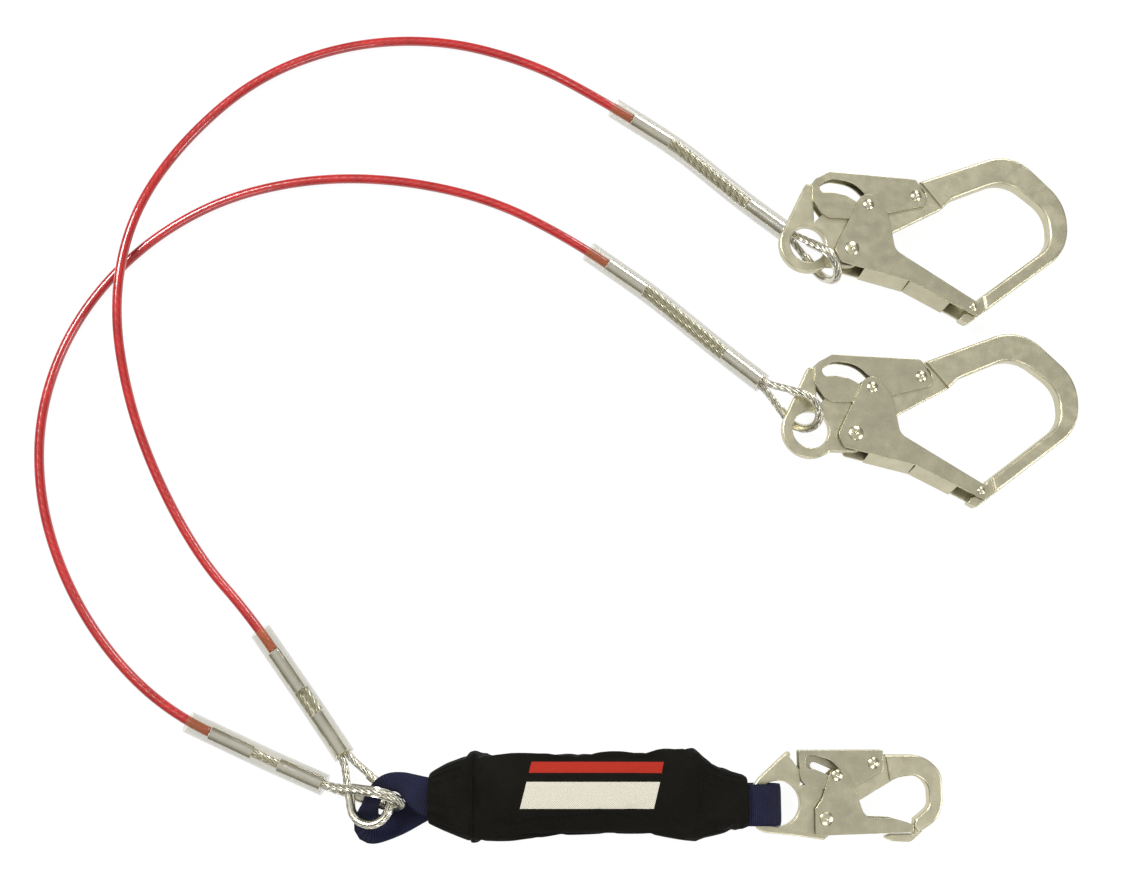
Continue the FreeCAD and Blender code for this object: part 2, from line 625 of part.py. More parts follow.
def leg(name, route, pack_end, hook_end):
    """Every piece of one leg."""
    pieces = {name + "_cable": cable(name, route, pack_end, hook_end)}
    for place, end in (("pack", pack_end), ("hook", hook_end)):
        prefix = name + "_" + place
        pieces[prefix + "_eye_rope"] = rope_eye(end)
        pieces[prefix + "_thimble"] = thimble(end)
        pieces[prefix + "_ferrule_cable_side"] = ferrule(end, 0)
        pieces[prefix + "_ferrule_eye_side"] = ferrule(end, 2)
        pieces[prefix + "_sleeve"] = sleeve(end)
    return pieces


# ---- shock pack ----------------------------------------------------------------------
# Stations along the cover: x, centre y, half width, bottom z, top z, edge radius.
COVER_STATIONS = [
    (-222, -229.5, 18.5, 1.0, 29, 5), (-208, -228.5, 26.5, 0.5, 33, 11),
    (-191, -227.8, 34, 0, 35, 14), (-161, -228, 32.8, 0, 35, 14), (-125, -227, 31.8, 0, 35, 14),
    (-60, -226, 32.8, 0, 35, 14), (-28, -226, 33.6, 0, 35, 14), (-18, -228.5, 29.5, 0.4, 34, 12),
    (-4, -230.5, 24.5, 0.8, 31, 9), (14, -232, 18.5, 1.0, 28.5, 5),
]


def cover_solid(inset):
    """Loft through the cover's stations, pulled in by inset all round."""
    wires = []
    last = len(COVER_STATIONS) - 1
    for i, (x, y, half, low, high, radius) in enumerate(COVER_STATIONS):
        half, low, high, radius = half - inset, low + inset, high - inset, radius - inset
        if inset and i in (0, last):
            x += -1 if i == 0 else 1          # the cavity opens through both ends
        corners = [(y - half, low, radius), (y + half, low, radius),
                   (y + half, high, radius), (y - half, high, radius)]
        wire = rounded_wire(corners)
        # the outline is drawn in XY: turn it to stand across the pack
        turn = FreeCAD.Rotation(vec(0, 1, 0), Z_AXIS, vec(1, 0, 0), "XYZ")
        wire.Placement = FreeCAD.Placement(vec(x, 0, 0), turn)
        wires.append(wire)
    return Part.makeLoft(wires, True, True)


def pack_cover():
    return cover_solid(0).cut(cover_solid(COVER_WALL))


TEAR_CENTRE = (-101.0, -227.0)
TEAR_BOTTOM = 8.0


def tear_webbing():
    """Folded stack of tear webbing: flat layers joined by turns at alternate ends."""
    x0 = TEAR_CENTRE[0] - TEAR_LENGTH / 2
    y0 = TEAR_CENTRE[1] - WEB_WIDTH / 2
    pitch = TEAR_LAYER + TEAR_GAP
    shapes = []
    for layer in range(TEAR_LAYERS):
        z = TEAR_BOTTOM + layer * pitch
        shapes.append(Part.makeBox(TEAR_LENGTH, WEB_WIDTH, TEAR_LAYER, vec(x0, y0, z)))
        if layer:
            end = x0 if layer % 2 else x0 + TEAR_LENGTH
            turn = Part.makeCylinder(TEAR_LAYER + TEAR_GAP / 2, WEB_WIDTH,
                                     vec(end, y0, z - TEAR_GAP / 2), vec(0, 1, 0))
            half = Part.makeBox(10, WEB_WIDTH, 10,
                                vec(end - (10 if layer % 2 else 0), y0, z - 5))
            hole = Part.makeCylinder(TEAR_GAP / 2, WEB_WIDTH,
                                     vec(end, y0, z - TEAR_GAP / 2), vec(0, 1, 0))
            shapes.append(turn.common(half).cut(hole))
    return fuse(shapes)


def inner_wrap():
    """Shrink wrap round the folded stack, open at its ends."""
    height = TEAR_LAYERS * (TEAR_LAYER + TEAR_GAP)
    length = TEAR_LENGTH + 12
    clear = 0.5

    def block(grow, longer):
        size = (length + longer, WEB_WIDTH + 2 * (clear + grow), height + 2 * (clear + grow))
        corner = vec(TEAR_CENTRE[0] - size[0] / 2, TEAR_CENTRE[1] - size[1] / 2,
                     TEAR_BOTTOM - clear - grow)
        return Part.makeBox(*size, corner)

    return block(WRAP_WALL, 0).cut(block(0, 2))


def backup_strap():
    """Safety strap that holds the pack together after the tear webbing has run out."""
    top = TEAR_BOTTOM + TEAR_LAYERS * (TEAR_LAYER + TEAR_GAP) + 1.3
    return Part.makeBox(176, 25, 1.8, vec(-192, TEAR_CENTRE[1] - 12.5, top))


def closure_strip():
    """Hook-and-loop closure strip along the underside of the stack."""
    return Part.makeBox(170, 20, 1.6, vec(-186, TEAR_CENTRE[1] - 10, 3.2))


# Stations of the cable-end loop: centre, heading of its width, half width, thickness.
# It leaves the pack as the upper strand, is gathered where it runs through both
# thimbles, turns flat on the floor and goes back as the lower strand.
LOOP_STATIONS = [
    ((-204, -229, 22), 90, 14, 3.0), ((-222, -227.5, 22.3), 90, 14.2, 3.0),
    ((-241, -217.7, 24.0), 94, 7.8, 3.4), ((-253, -218.3, 26.1), 114, 6.6, 3.3),
    ((-261, -226.5, 22.2), 142, 6.2, 5.0), ((-265.3, -235.5, 14.5), 168, 6.4, 5.0),
    ((-268, -246, 6.6), 192, 9.5, 3.8), ((-265, -252.7, 3.4), 235, 11, 3.2),
    ((-246, -248.8, 3.0), 287, 9.0, 3.0), ((-222, -233.0, 6.5), 279, 12, 3.0),
    ((-204, -229, 9.5), 270, 13, 3.0),
]


def cable_end_loop():
    """Loft of flat sections along the loop."""
    wires = []
    centres = [vec(*station[0]) for station in LOOP_STATIONS]
    for i, (centre, heading, half, thick) in enumerate(LOOP_STATIONS):
        before = centres[max(i - 1, 0)]
        after = centres[min(i + 1, len(centres) - 1)]
        width = direction(heading, 0)
        up = (after - before).cross(width).normalize() * (thick / 2)
        here = vec(*centre)
        across = width * half
        corners = [here - across - up, here + across - up, here + across + up,
                   here - across + up]
        wires.append(Part.makePolygon(corners + corners[:1]))
    return Part.makeLoft(wires, True, True)


HOOK_WEB_TOP = 21.3       # centre heights of the hook-end loop's two layers
HOOK_WEB_BOTTOM = 7.3
HOOK_WEB_FOLD = 30.2      # where its round turn starts


def hook_end_loop():
    """Webbing through the harness hook's ring: two layers and a round turn."""
    middle = (HOOK_WEB_TOP + HOOK_WEB_BOTTOM) / 2
    reach = (HOOK_WEB_TOP - HOOK_WEB_BOTTOM) / 2
    width = 30.0
    y0 = -234.0 - width / 2
    start = -14.0
    half = WEB_THICKNESS / 2
    shapes = []
    for z in (HOOK_WEB_TOP, HOOK_WEB_BOTTOM):
        shapes.append(Part.makeBox(HOOK_WEB_FOLD - start, width, WEB_THICKNESS,
                                   vec(start, y0, z - half)))
    turn = Part.makeCylinder(reach + half, width, vec(HOOK_WEB_FOLD, y0, middle), vec(0, 1, 0))
    turn = turn.cut(Part.makeCylinder(reach - half, width, vec(HOOK_WEB_FOLD, y0, middle),
                                      vec(0, 1, 0)))
    right = Part.makeBox(20, width, 40, vec(HOOK_WEB_FOLD, y0, -5))
    return fuse(shapes + [turn.common(right)])


# ---- everything ----------------------------------------------------------------------
def build():
    pieces = {
        "pack_cover": pack_cover(),
        "tear_webbing": tear_webbing(),
        "inner_wrap": inner_wrap(),
        "backup_strap": backup_strap(),
        "cover_closure_strip": closure_strip(),
        "cable_end_web_loop": cable_end_loop(),
        "hook_end_web_loop": hook_end_loop(),
    }
    pieces.update(leg("leg_1", ROUTE_1, PACK_END_1, HOOK_END_1))
    pieces.update(leg("leg_2", ROUTE_2, PACK_END_2, HOOK_END_2))
    anchor = anchor_hook()
    for name, pose in HOOK_POSES.items():
        drawn = harness_hook() if name == "harness_hook" else anchor
        for piece, shape in drawn.items():
            pieces[name + "_" + piece] = pose.put(shape)
    return pieces


def save(pieces):
    os.makedirs("parts", exist_ok=True)
    for name, shape in pieces.items():
        shape.exportStep("parts/%s.step" % name)
    box = Part.makeCompound(list(pieces.values())).BoundBox
    print("%d pieces, box %.0f x %.0f x %.0f mm"
          % (len(pieces), box.XLength, box.YLength, box.ZLength))


if __name__ == "__main__":
    save(build())
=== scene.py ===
"""Looks of the twin-leg wire-rope lanyard, in metres. Lists of places are in millimetres."""

import math
import bpy
from mathutils import Matrix, Vector, noise


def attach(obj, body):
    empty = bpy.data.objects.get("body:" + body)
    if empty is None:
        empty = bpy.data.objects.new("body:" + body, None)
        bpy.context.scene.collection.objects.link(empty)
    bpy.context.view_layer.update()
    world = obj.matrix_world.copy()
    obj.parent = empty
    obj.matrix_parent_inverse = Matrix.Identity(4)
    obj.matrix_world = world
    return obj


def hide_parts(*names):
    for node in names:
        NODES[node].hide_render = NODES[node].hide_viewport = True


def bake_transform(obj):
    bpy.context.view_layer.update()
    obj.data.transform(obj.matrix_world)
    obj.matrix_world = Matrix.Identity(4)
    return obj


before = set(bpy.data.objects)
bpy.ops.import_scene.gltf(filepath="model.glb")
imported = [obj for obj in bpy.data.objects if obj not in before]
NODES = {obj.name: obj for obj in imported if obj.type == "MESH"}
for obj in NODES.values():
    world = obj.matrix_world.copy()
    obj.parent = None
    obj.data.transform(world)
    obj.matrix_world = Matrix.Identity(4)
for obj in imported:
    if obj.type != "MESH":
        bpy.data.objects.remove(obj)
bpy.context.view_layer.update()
ROOT = "pack_and_legs"
MM = 0.001


def mm(x, y, z=0.0):
    return Vector((x * MM, y * MM, z * MM))


# ---- camera ----------------------------------------------------------------------
CAMERA_AT = mm(-123, -132.1, 1086.5)
CAMERA_TO = mm(-123, 40, 0)
LENS = 45.12


def add_camera():
    data = bpy.data.cameras.new("camera")
    data.lens = LENS
    data.sensor_width = 36.0
    data.sensor_fit = "HORIZONTAL"
    data.clip_start = 0.01
    obj = bpy.data.objects.new("camera", data)
    bpy.context.scene.collection.objects.link(obj)
    back = (CAMERA_AT - CAMERA_TO).normalized()
    right = Vector((1, 0, 0))
    obj.matrix_world = Matrix((right, back.cross(right), back)).transposed().to_4x4()
    obj.location = CAMERA_AT
    bpy.context.scene.camera = obj
    bpy.context.scene.view_settings.view_transform = "Standard"


add_camera()


# ---- materials -------------------------------------------------------------------
class Shader:
    """Short calls for a node tree."""

    def __init__(self, name, **values):
        self.material = bpy.data.materials.new(name)
        self.material.use_nodes = True
        self.tree = self.material.node_tree
        self.main = self.tree.nodes["Principled BSDF"]
        for key, value in values.items():
            self.main.inputs[key.replace("_", " ")].default_value = value

    def node(self, kind, inputs=None, **settings):
        made = self.tree.nodes.new(kind)
        for key, value in settings.items():
            setattr(made, key, value)
        for key, value in (inputs or {}).items():
            if isinstance(value, bpy.types.NodeSocket):
                self.tree.links.new(value, made.inputs[key])
            else:
                made.inputs[key].default_value = value
        return made

    def coords(self, which="Object"):
        return self.node("ShaderNodeTexCoord").outputs[which]

    def split(self, vector):
        return self.node("ShaderNodeSeparateXYZ", {0: vector}).outputs

    def math(self, operation, a, b=0.0, c=0.0):
        return self.node("ShaderNodeMath", {0: a, 1: b, 2: c}, operation=operation).outputs[0]

    def noise(self, scale, detail=3.0, rough=0.5):
        made = self.node("ShaderNodeTexNoise", {"Scale": scale, "Detail": detail,
                                                "Roughness": rough,
                                                "Vector": self.coords()})
        return made.outputs["Fac"]

    def ramp(self, value, stops):
        made = self.node("ShaderNodeValToRGB", {0: value})
        band = made.color_ramp
        while len(band.elements) < len(stops):
            band.elements.new(0.5)
        for element, (place, colour) in zip(band.elements, stops):
            element.position = place
            element.color = (*colour, 1)
        return made.outputs[0]

    def mix(self, share, a, b, blend="MIX"):
        return self.node("ShaderNodeMixRGB", {0: share, 1: a, 2: b}, blend_type=blend).outputs[0]

    def wave(self, value, period, phase=0.0):
        """0 to 1 sine wave of a coordinate."""
        turn = self.math("MULTIPLY_ADD", value, 2 * math.pi / period, phase)
        return self.math("MULTIPLY_ADD", self.math("SINE", turn), 0.5, 0.5)

    def inside(self, value, centre, half):
        """1 where a coordinate is within half of centre."""
        off = self.math("ABSOLUTE", self.math("SUBTRACT", value, centre))
        return self.math("LESS_THAN", off, half)

    def bump(self, height, distance, strength=1.0, normal=None):
        inputs = {"Height": height, "Distance": distance, "Strength": strength}
        if normal is not None:
            inputs["Normal"] = normal
        return self.node("ShaderNodeBump", inputs).outputs[0]

    def link(self, socket, name):
        self.tree.links.new(socket, self.main.inputs[name])


def grey(v):
    return (v, v, v)


def tone(colour, share):
    return tuple(c * share for c in colour)


ZINC = (0.61, 0.575, 0.41)


def plated(name, colour, rough, edge, grain=0.55):
    """Zinc-plated steel: olive grey, fine sparkling grain, softened edges, blotches."""
    s = Shader(name, Metallic=1.0)
    blot = s.noise(48, 4, 0.6)
    tint = s.ramp(blot, [(0.30, tone(colour, 0.90)), (0.50, colour), (0.72, tone(colour, 1.12))])
    speck = s.ramp(s.noise(1500, 2, 0.7), [(0.35, grey(0.82)), (0.66, grey(1.0))])
    s.link(s.mix(1.0, tint, speck, "MULTIPLY"), "Base Color")
    spread = s.ramp(s.noise(130, 3), [(0.35, grey(rough * 0.85)), (0.65, grey(rough * 1.15))])
    s.link(spread, "Roughness")
    soft = s.node("ShaderNodeBevel", {"Radius": edge}, samples=6).outputs[0]
    fine = s.bump(s.noise(1100, 2), 0.0001, grain, soft)
    s.link(s.bump(s.noise(110, 2), 0.0005, 0.22, fine), "Normal")
    return s.material


def aluminium():
    """Bright swaged ferrule, a little uneven."""
    s = Shader("ferrule_aluminium", Metallic=1.0, Base_Color=(0.93, 0.92, 0.90, 1))
    s.link(s.ramp(s.noise(90, 3), [(0.3, grey(0.08)), (0.7, grey(0.20))]), "Roughness")
    s.link(s.bump(s.noise(260, 2), 0.0004, 0.22), "Normal")
    return s.material


def strand_steel():
    """Galvanised strand: fine wires laid round it, with painted shade in the grooves between them
    and lighter crests.
    """
    s = Shader("galvanised_strand", Metallic=1.0, Roughness=0.38)
    along, around = s.split(s.coords("UV"))[:2]
    wires = s.math("MULTIPLY_ADD", along, 0.16, s.math("MULTIPLY", around, 6.0))
    ridge = s.wave(wires, 1.0)
    # base colour: painted shade in the grooves between the wires, lighter along their crests
    s.link(s.ramp(ridge, [(0.0, (0.16, 0.15, 0.11)), (0.45, (0.62, 0.59, 0.47)),
                          (1.0, (0.86, 0.84, 0.74))]), "Base Color")
    s.link(s.bump(ridge, 0.00007, 0.6), "Normal")
    return s.material


def red_vinyl():
    """Deep red jacket; the lay of the rope shows faintly through it, as bumps and as painted shade
    in the grooves of the lay.
    """
    s = Shader("red_vinyl", Roughness=0.22, Coat_Weight=0.7, Coat_Roughness=0.05,
               Subsurface_Weight=0.15, Subsurface_Scale=0.002)
    s.main.inputs["Subsurface Radius"].default_value = (1.0, 0.1, 0.05)
    along, around = s.split(s.coords("UV"))[:2]
    lay = s.wave(s.math("MULTIPLY_ADD", along, 0.15, s.math("MULTIPLY", around, 6.0)), 1.0)
    cloudy = s.noise(60, 3)
    deep = s.ramp(cloudy, [(0.3, (0.30, 0.008, 0.007)), (0.7, (0.42, 0.014, 0.012))])
    # painted shade: the red is deepened in the grooves of the lay
    shade = s.ramp(lay, [(0.0, grey(0.74)), (0.6, grey(1.0))])
    s.link(s.mix(1.0, deep, shade, "MULTIPLY"), "Base Color")
    s.link(s.bump(lay, 0.00010, 0.5), "Normal")
    return s.material


def clear_vinyl():
    """Slightly yellowed clear tube over a termination."""
    s = Shader("clear_vinyl", Roughness=0.10, IOR=1.5, Alpha=0.155, Coat_Weight=0.6,
               Coat_Roughness=0.05)
    s.link(s.ramp(s.noise(30, 2), [(0.3, (0.17, 0.15, 0.04)), (0.7, (0.25, 0.22, 0.08))]),
           "Base Color")
    s.link(s.bump(s.noise(60, 2), 0.0004, 0.15), "Normal")
    return s.material


PRINT_X, RED_Y, WHITE_Y = -0.103, -0.2062, -0.2255      # centres of the two print bars
PRINT_HALF, RED_HALF, WHITE_HALF = 0.0485, 0.0038, 0.0095      # half lengths and widths
PRINT_SLANT = 0.25
PRINT_ABOVE = 0.022                                     # the print is on the upper side only
WEAVE = 1.7                                             # weave period in millimetres


def cover_cloth():
    """Coarse brown-black nylon with a plain red bar beside a plain white one; the weave has painted
    shade between the threads and a painted highlight on their crossings.
    """
    s = Shader("cover_cloth", Roughness=0.75, Specular_IOR_Level=0.08)
    along, around = s.split(s.coords("UV"))[:2]
    one = s.wave(s.math("ADD", along, around), WEAVE)
    two = s.wave(s.math("SUBTRACT", along, around), WEAVE)
    weave = s.math("MULTIPLY", one, two)
    shade = s.ramp(s.noise(28, 4, 0.6), [(0.3, (0.0040, 0.0037, 0.0023)),
                                         (0.7, (0.0076, 0.0069, 0.0045))])
    # painted shade between the threads and painted highlight where they cross
    weave_painted_light = s.ramp(weave, [(0.0, grey(0.45)), (0.5, grey(1.0)), (1.0, grey(1.9))])
    cloth = s.mix(1.0, shade, weave_painted_light, "MULTIPLY")
    x, y, z = s.split(s.coords())
    level = s.math("GREATER_THAN", z, PRINT_ABOVE)
    for centre, half, colour in ((RED_Y, RED_HALF, (0.38, 0.026, 0.014, 1)),
                                 (WHITE_Y, WHITE_HALF, (0.60, 0.565, 0.47, 1))):
        slant = s.math("MULTIPLY_ADD", s.math("SUBTRACT", y, WHITE_Y), -PRINT_SLANT, x)
        mask = s.math("MULTIPLY", s.inside(slant, PRINT_X, PRINT_HALF), s.inside(y, centre, half))
        mask = s.math("MULTIPLY", mask, level)
        worn = s.math("MULTIPLY", mask, s.ramp(weave, [(0.0, grey(0.72)), (0.25, grey(1.0))]))
        cloth = s.mix(worn, cloth, colour)
    s.link(cloth, "Base Color")
    rough = s.bump(s.noise(90, 3, 0.6), 0.0007, 0.35)
    s.link(s.bump(weave, 0.0003, 0.7, rough), "Normal")
    return s.material


def webbing():
    """Navy webbing with ribs across it, with painted shade between the ribs and lighter rib tops."""
    s = Shader("navy_webbing", Roughness=0.65, Specular_IOR_Level=0.15, Sheen_Weight=0.02,
               Sheen_Roughness=0.4)
    along, across = s.split(s.coords("UV"))[:2]
    ribs = s.wave(along, 1.5)
    cords = s.wave(across, 1.1)
    shade = s.ramp(s.noise(40, 4, 0.6), [(0.3, (0.005, 0.005, 0.014)),
                                         (0.7, (0.010, 0.011, 0.040))])
    # painted shade between the ribs, a little lighter on their tops
    rib_painted_shade = s.ramp(ribs, [(0.0, grey(0.40)), (0.6, grey(1.15))])
    s.link(s.mix(1.0, shade, rib_painted_shade, "MULTIPLY"), "Base Color")
    fine = s.bump(cords, 0.00012, 0.5)
    s.link(s.bump(ribs, 0.00030, 0.8, fine), "Normal")
    return s.material


def inner_webbing(name, colour):
    """Plain webbing inside the pack, ribbed along X, with painted shade between the ribs."""
    s = Shader(name, Roughness=0.8)
    ribs = s.wave(s.split(s.coords())[0], 0.0016)
    # painted shade between the ribs
    s.link(s.ramp(ribs, [(0.0, tone(colour, 0.6)), (0.6, colour)]), "Base Color")
    s.link(s.bump(ribs, 0.0003, 0.6), "Normal")
    return s.material


def wrap_film():
    """Crumpled clear film round the folded webbing."""
    s = Shader("wrap_film", Roughness=0.1, Alpha=0.35, Base_Color=(0.85, 0.87, 0.88, 1))
    s.link(s.bump(s.noise(45, 3), 0.002, 0.4), "Normal")
    return s.material


MATERIALS = {
    "forged": plated("forged_zinc", ZINC, 0.38, 0.0012),
    "pressed": plated("pressed_zinc", tone(ZINC, 0.94), 0.34, 0.0006),
    "rivet": plated("rivet_zinc", tone(ZINC, 1.10), 0.26, 0.0004),
    "wire": plated("spring_wire", (0.40, 0.39, 0.34), 0.35, 0.0002),
    "thimble": plated("thimble_zinc", (0.72, 0.69, 0.57), 0.24, 0.0004),
    "ferrule": aluminium(),
    "strand": strand_steel(),
    "jacket": red_vinyl(),
    "sleeve": clear_vinyl(),
    "cover": cover_cloth(),
    "web": webbing(),
    "tear": inner_webbing("tear_webbing", (0.62, 0.60, 0.52)),
    "strap": inner_webbing("backup_strap", (0.04, 0.04, 0.04)),
    "closure": inner_webbing("closure_strip", (0.025, 0.025, 0.025)),
    "film": wrap_film(),
}


# ---- shapes ----------------------------------------------------------------------
def link(obj):
    bpy.context.scene.collection.objects.link(obj)
    return obj


def new_mesh(name, points, faces, uvs=None, material=None, smooth=True):
    mesh = bpy.data.meshes.new(name)
    mesh.from_pydata([tuple(p) for p in points], [], faces)
    if uvs:
        layer = mesh.uv_layers.new(name="UVMap")
        for loop in mesh.loops:
            layer.data[loop.index].uv = uvs[loop.vertex_index]
    if smooth:
        mesh.polygons.foreach_set("use_smooth", [True] * len(mesh.polygons))
    if material:
        mesh.materials.append(material)
    return link(bpy.data.objects.new(name, mesh))


def nurbs_line(points):
    """Points along the smooth NURBS curve of a route."""
    data = bpy.data.curves.new("route", "CURVE")
    data.dimensions = "3D"
    data.resolution_u = 24
    spline = data.splines.new("NURBS")
    spline.points.add(len(points) - 1)
    for place, point in zip(spline.points, points):
        place.co = (*point, 1)
    spline.order_u = 3
    spline.use_endpoint_u = True
    obj = link(bpy.data.objects.new("route", data))
    bpy.context.view_layer.update()
    mesh = bpy.data.meshes.new_from_object(obj)
    line = [v.co.copy() for v in mesh.vertices]
    bpy.data.objects.remove(obj)
    bpy.data.meshes.remove(mesh)
    return line


def direction(heading, pitch=0.0):
    a, b = math.radians(heading), math.radians(pitch)
    return Vector((math.cos(a) * math.cos(b), math.sin(a) * math.cos(b), math.sin(b)))


def travelled(points):
    """Length along a polyline at each of its points."""
    lengths = [0.0]
    for a, b in zip(points, points[1:]):
        lengths.append(lengths[-1] + (b - a).length)
    return lengths


def resample(points, step):
    """Points at an even spacing along a polyline."""
    lengths = travelled(points)
    count = max(2, int(round(lengths[-1] / step)))
    made, i = [], 0
    for k in range(count + 1):
        at = lengths[-1] * k / count
        while i < len(points) - 2 and lengths[i + 1] < at:
            i += 1
        part = (at - lengths[i]) / max(lengths[i + 1] - lengths[i], 1e-12)
        made.append(points[i].lerp(points[i + 1], min(max(part, 0), 1)))
    return made


def rounded(points, reach, steps=6):
    """A polyline with its corners rounded by quadratic curves."""
    made = [points[0]]
    for a, b, c in zip(points, points[1:], points[2:]):
        r = min(reach, 0.45 * (a - b).length, 0.45 * (c - b).length)
        p, q = b + (a - b).normalized() * r, b + (c - b).normalized() * r
        for k in range(steps + 1):
            t = k / steps
            made.append(p * (1 - t) ** 2 + b * 2 * t * (1 - t) + q * t * t)
    return made + [points[-1]]


def smooth_rows(rows, step):
    """Catmull-Rom curve through rows of numbers. The step is a distance between the
    places that the first three numbers of the rows make."""
    made = []
    for i in range(len(rows) - 1):
        before, a = rows[max(i - 1, 0)], rows[i]
        b, after = rows[i + 1], rows[min(i + 2, len(rows) - 1)]
        span = math.dist(a[:3], b[:3])
        count = max(2, int(round(span / step)))
        for k in range(count + (i == len(rows) - 2)):
            t = k / count
            made.append([0.5 * (2 * p + (q - o) * t + (2 * o - 5 * p + 4 * q - r) * t * t
                                + (3 * p - o - 3 * q + r) * t ** 3)
                         for o, p, q, r in zip(before, a, b, after)])
    return made


def frames(points):
    """A side and an up direction at every point, without twist along the line."""
    sides = []
    side = (points[1] - points[0]).normalized().orthogonal().normalized()
    for i in range(len(points)):
        a, b = points[max(i - 1, 0)], points[min(i + 1, len(points) - 1)]
        tangent = (b - a).normalized()
        side = (side - tangent * side.dot(tangent)).normalized()
        sides.append((side, tangent.cross(side)))
    return sides


def rings_mesh(name, rings, uvs, material, closed=True):
    """Skin over rings of points; every ring has the same count. closed caps the ends."""
    count = len(rings[0])
    points = [p for ring in rings for p in ring]
    flat = [uv for ring in uvs for uv in ring]
    faces = []
    for i in range(len(rings) - 1):
        for k in range(count):
            n = (k + 1) % count
            faces.append((i * count + k, i * count + n, (i + 1) * count + n, (i + 1) * count + k))
    if closed:
        faces.append(tuple(range(count))[::-1])
        faces.append(tuple((len(rings) - 1) * count + k for k in range(count)))
    return new_mesh(name, points, faces, flat, material)


def tubes(name, lines, radius, sides, material):
    """One mesh of round tubes. UV: millimetres along, share of a turn around."""
    points, faces, uvs = [], [], []
    for line in lines:
        base = len(points)
        ways, lengths = frames(line), travelled(line)
        for centre, (side, up), length in zip(line, ways, lengths):
            for k in range(sides):
                turn = 2 * math.pi * k / sides
                points.append(centre + (side * math.cos(turn) + up * math.sin(turn)) * radius)
                uvs.append((length / MM, k / sides))
        for i in range(len(line) - 1):
            for k in range(sides):
                n = (k + 1) % sides
                a, b = base + i * sides, base + (i + 1) * sides
                faces.append((a + k, b + k, b + n, a + n))
        last = base + (len(line) - 1) * sides
        faces.append(tuple(base + k for k in range(sides)))
        faces.append(tuple(last + k for k in range(sides))[::-1])
    obj = new_mesh(name, points, faces, uvs, material)
    seams = obj.data.uv_layers[0].data
    for polygon in obj.data.polygons:          # the last side of a turn runs up to 1
        if len(polygon.vertices) == 4:
            values = [seams[i].uv[1] for i in polygon.loop_indices]
            if max(values) - min(values) > 0.5:
                for i in polygon.loop_indices:
                    if seams[i].uv[1] < 0.5:
                        seams[i].uv[1] += 1.0
    return obj


# ---- legs ------------------------------------------------------------------------
AXIS, LOW, CROSS = 8.4, 3.75, 18.5      # heights of terminations, cables and the crossing
LEGS = {
    "leg_1": dict(
        pack=((-341, -122), (-54.1, -54.1, -54.7), (0, 0, 1.7), 21, (-59, 11.2, 54.9), -5.2, -1),
        hook=((-66, 300), (-33.2, -40.8, -40.8), (0, 0, 9), 80, (-47.3, 15, 54), 75, 1),
        route=[(-401, -52, LOW), (-437, 9, LOW), (-463, 75, 6.5), (-473, 146, CROSS),
               (-463, 216, CROSS), (-430, 281, 6.5), (-372, 338, LOW), (-299, 367, LOW),
               (-222, 371, LOW), (-149, 351, LOW)]),
    "leg_2": dict(
        pack=((-386.6, -182.3), (-24.5, -24.5, -22.8), (0, 0, 2.4), 21, (-11, 10.8, 59.1), 69.3, 1),
        hook=((-87, 180), (-35.5, -40.4, -40.4), (0, 0, 7), 80, (-38.3, 10, 51), 48, 1),
        route=[(-467, -125, LOW), (-505, -68, LOW), (-528, -3, LOW), (-531, 66, LOW),
               (-509, 134, LOW), (-464, 192, LOW), (-403, 233, LOW), (-333, 252, LOW),
               (-260, 253, LOW), (-181, 236, LOW)]),
}
FERRULE, BEND, ROPE, EYE_R, JACKET = 36.0, 6.0, 5.6, 15.5, 7.5
ROPE_GAP, JACKET_GAP = 0.2, 0.2         # between the doubled ropes, jacket to ferrule
OFFSET = (ROPE + ROPE_GAP) / 2
STRAIGHT = 34.0                         # first straight run out of a ferrule


class Termination:
    """Corners of the doubled rope through two ferrules, and the frame of its eye."""

    def __init__(self, start, headings, pitches, gap, eye, lean, side):
        runs = (FERRULE + BEND, gap - 2 * BEND, FERRULE + 2 * BEND)
        self.points = [Vector((*start, AXIS))]
        self.ways = [direction(h, p) for h, p in zip(headings, pitches)]
        for way, run in zip(self.ways, runs):
            self.points.append(self.points[-1] + way * run)
        heading, pitch, self.length = eye
        self.axis = direction(heading, pitch)
        left = direction(heading + 90) * side
        up = left.cross(self.axis) * (-side)
        lean = math.radians(lean)
        self.width = left * math.cos(lean) + up * math.sin(lean)

    def strand(self, offset):
        """Corners of one of the two ropes side by side."""
        ways = [self.ways[0]] + self.ways + [self.axis]
        made = []
        for i, point in enumerate(self.points):
            way = (ways[i] + ways[i + 1]).normalized() if i < 3 else self.axis
            across = (self.width - way * self.width.dot(way)).normalized()
            made.append(point + across * offset)
        return made

    def line(self):
        """The rope's whole centre line: in, round the eye and back, in metres."""
        centre = self.length - ROPE / 2 - EYE_R
        angle = math.acos(-EYE_R / math.hypot(centre, OFFSET)) - math.atan2(OFFSET, centre)
        arc = []
        for k in range(33):
            a = angle * (1 - 2 * k / 32)
            arc.append(self.points[-1] + self.axis * (centre + EYE_R * math.cos(a))
                       + self.width * (EYE_R * math.sin(a)))
        ends = [rounded(self.strand(s * OFFSET) + [end], BEND - 0.5)
                for s, end in ((1, arc[0]), (-1, arc[-1]))]
        points = ends[0] + arc[1:-1] + ends[1][::-1]
        return [p * MM for p in points]


def laid_rope(name, points, diameter, material, strands=6, lay=6.6, step=0.0016):
    """Outer strands laid round a core strand."""
    points = resample(points, step)
    sides, lengths = frames(points), travelled(points)
    lines = [points]
    for k in range(strands):
        line = []
        for point, (side, up), length in zip(points, sides, lengths):
            turn = 2 * math.pi * (k / strands + length / (lay * diameter))
            line.append(point + (side * math.cos(turn) + up * math.sin(turn)) * (diameter / 3))
        lines.append(line)
    return tubes(name, lines, diameter / 6, 8, material)


